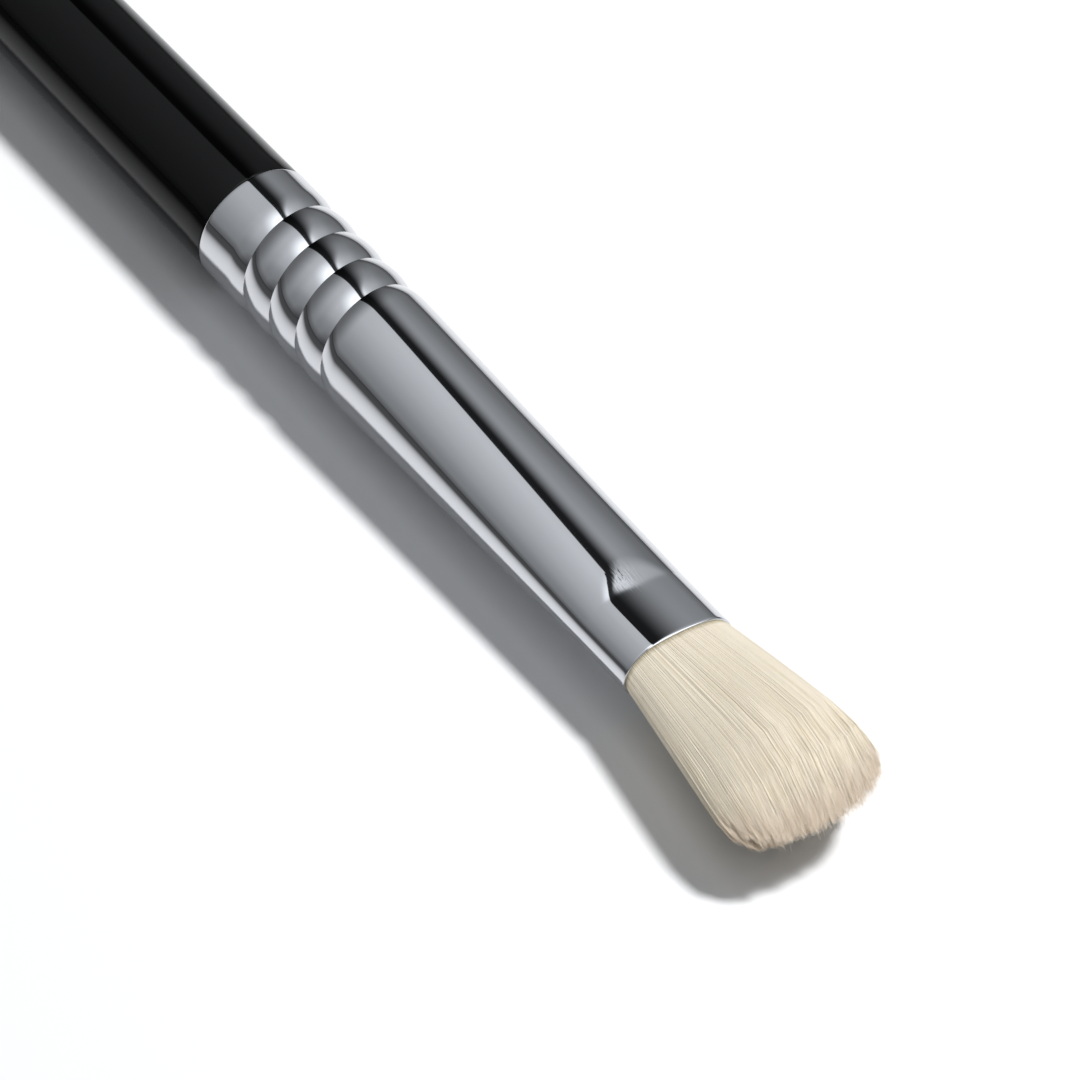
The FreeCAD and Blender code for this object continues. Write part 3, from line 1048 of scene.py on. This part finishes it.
def hang_tent(stage):
    """A light tent: brightest almost overhead, fading to the sides, with one dark slot."""
    end_loss, tail_gain, far_loss, slot_depth = 0.72, 0.25, 0.3, 0.97
    skirt_level, top_level, lip_level = 0.55, 1.17, 2.0
    top_light, top_edge, top_power = (0.04, 0.02, 1.0), 0.8, 3.0
    lip_light, lip_fade = (0.74, 0.34, 0.58), (0.9, 0.97)
    slot_start, slot_slant, slot_end, slot_widening = 0.215, 0.09, 0.32, 0.3
    slot_edge, far_fade, tail_fade = (0.13, 0.15), (0.14, 0.2), (0.1, 0.6)
    end_fade, tail_rise, skirt_rise = (0.5, 0.92), (-0.537, -0.2), (0.0, 0.2)
    cool_white = (0.94, 0.97, 1.0, 1.0)
    world = bpy.data.worlds.new("light_tent")
    world.use_nodes = True
    bpy.context.scene.world = world
    graph = Graph(world.node_tree)
    direction = graph.node("ShaderNodeTexCoord")["Generated"]
    axes = graph.axes(direction)
    along, across, up = axes["X"], axes["Y"], axes["Z"]

    def nearness(light):
        """How near a direction is to the middle of a light, where it is 1."""
        inputs = {0: direction, 1: Vector(light).normalized()}
        return graph.node("ShaderNodeVectorMath", inputs, operation="DOT_PRODUCT")["Value"]

    # Level of the tent's cloth from the ridge over the brush down to its two sides.
    stops = (
        (0.0, 0.72), (0.25, 0.69), (0.5, 0.58), (0.7, 0.45), (0.82, 0.32), (0.93, 0.24), (1.0, 0.1)
    )
    from_ridge = graph.math("ABSOLUTE", across)
    cloth = graph.node("ShaderNodeValToRGB", {"Fac": from_ridge}, stops=stops)
    ends = 1 - end_loss * graph.smooth(graph.math("ABSOLUTE", along), *end_fade)
    ends = ends * (1 + tail_gain * graph.smooth(along, *tail_rise))
    skirt = skirt_level + (1 - skirt_level) * graph.smooth(up, *skirt_rise)
    to_tail = graph.smooth(0 - along, *tail_fade)
    far_side = 1 - far_loss * to_tail * graph.smooth(across, *far_fade)
    in_top = (nearness(top_light) - top_edge) / (1 - top_edge)
    top_glow = top_level * graph.math("MAXIMUM", in_top, 0.0) ** top_power
    slot_low = slot_start - slot_slant * along
    slot_high = slot_end + slot_widening * to_tail
    slot = graph.smooth(across, *slot_edge) * (1 - graph.smooth(across, slot_low, slot_high))
    level = (cloth * ends * skirt * far_side + top_glow) * (1 - slot_depth * slot)
    rays = graph.node("ShaderNodeLightPath")
    # A small front light for gloss alone, which the ferrule's lip mirrors.
    lip_glow = lip_level * graph.smooth(nearness(lip_light), *lip_fade)
    level = level + lip_glow * rays["Is Glossy Ray"]
    strength = 1 - (1 - stage.ambient) * rays["Is Diffuse Ray"]
    shade = graph.node("ShaderNodeBackground", {
        "Color": cool_white, "Strength": graph.math("MAXIMUM", level, 0.0) * strength
    })
    graph.node("ShaderNodeOutputWorld", {"Surface": shade})


def hang_lamp(name, power, size, direction):
    """Soft disk lamp over the ferrule, which the plate doesn't mirror."""
    data = bpy.data.lights.new(name, "AREA")
    data.shape = "DISK"
    data.size = size
    data.energy = power
    lamp = bpy.data.objects.new(name, data)
    direction = Vector(direction).normalized()
    target = JOINT + Vector((LAMP_TARGET, 0.0, 0.0))
    lamp.location = target + direction * LAMP_DISTANCE
    lamp.rotation_mode = "QUATERNION"
    lamp.rotation_quaternion = direction.to_track_quat("Z", "Y")
    lamp.visible_glossy = False
    bpy.context.scene.collection.objects.link(lamp)
    return lamp


def hang_lamps(stage):
    """A key from the far side for all but the hair, and a front lamp for the hair alone."""
    key = hang_lamp("key", stage.key_power, size=0.1, direction=(0.15, 0.5, 1.0))
    key.light_linking.receiver_collection = bpy.data.collections.new("key_leaves_out")
    front = hang_lamp("front", stage.hair_power, size=0.15, direction=(0.42, -0.15, 0.9))
    front.light_linking.receiver_collection = bpy.data.collections.new("front_lights")


class BRUSH_OT_stage(bpy.types.Operator):
    """Set up the camera, the light and the floor"""

    bl_idname = "brush.stage"
    bl_label = "Stage"

    def execute(self, context):
        stage = context.scene.brush_stage
        context.scene.view_settings.view_transform = "Standard"
        place_camera(stage)
        lay_floor(stage)
        hang_tent(stage)
        hang_lamps(stage)
        return {"FINISHED"}


class BRUSH_PT_panel(bpy.types.Panel):
    """Sidebar panel of the brush"""

    bl_label = "Eye Shadow Brush"
    bl_idname = "BRUSH_PT_panel"
    bl_space_type = "VIEW_3D"
    bl_region_type = "UI"
    bl_category = "Brush"

    def draw(self, context):
        scene = context.scene
        for operator, settings in (
            (BRUSH_OT_stage, scene.brush_stage),
            (BRUSH_OT_handle, scene.brush_handle),
            (BRUSH_OT_ferrule, scene.brush_ferrule),
            (BRUSH_OT_bonds, None),
            (BRUSH_OT_hair, scene.brush_hair),
        ):
            box = self.layout.box()
            box.operator(operator.bl_idname)
            for name in settings.__annotations__ if settings else ():
                box.prop(settings, name)


SETTINGS = {
    "brush_handle": HandleSettings,
    "brush_ferrule": FerruleSettings,
    "brush_hair": HairSettings,
    "brush_stage": StageSettings,
}
OPERATORS = (BRUSH_OT_stage, BRUSH_OT_handle, BRUSH_OT_ferrule, BRUSH_OT_bonds, BRUSH_OT_hair)
CLASSES = (*SETTINGS.values(), *OPERATORS, BRUSH_PT_panel)


def register():
    for item in CLASSES:
        bpy.utils.register_class(item)
    for name, group in SETTINGS.items():
        setattr(bpy.types.Scene, name, PointerProperty(type=group))


def unregister():
    for name in SETTINGS:
        delattr(bpy.types.Scene, name)
    for item in reversed(CLASSES):
        bpy.utils.unregister_class(item)


def main():
    register()
    bpy.ops.brush.stage()
    bpy.ops.brush.handle()
    bpy.ops.brush.ferrule()
    bpy.ops.brush.bonds()
    bpy.ops.brush.hair()


if __name__ == "__main__":
    main()
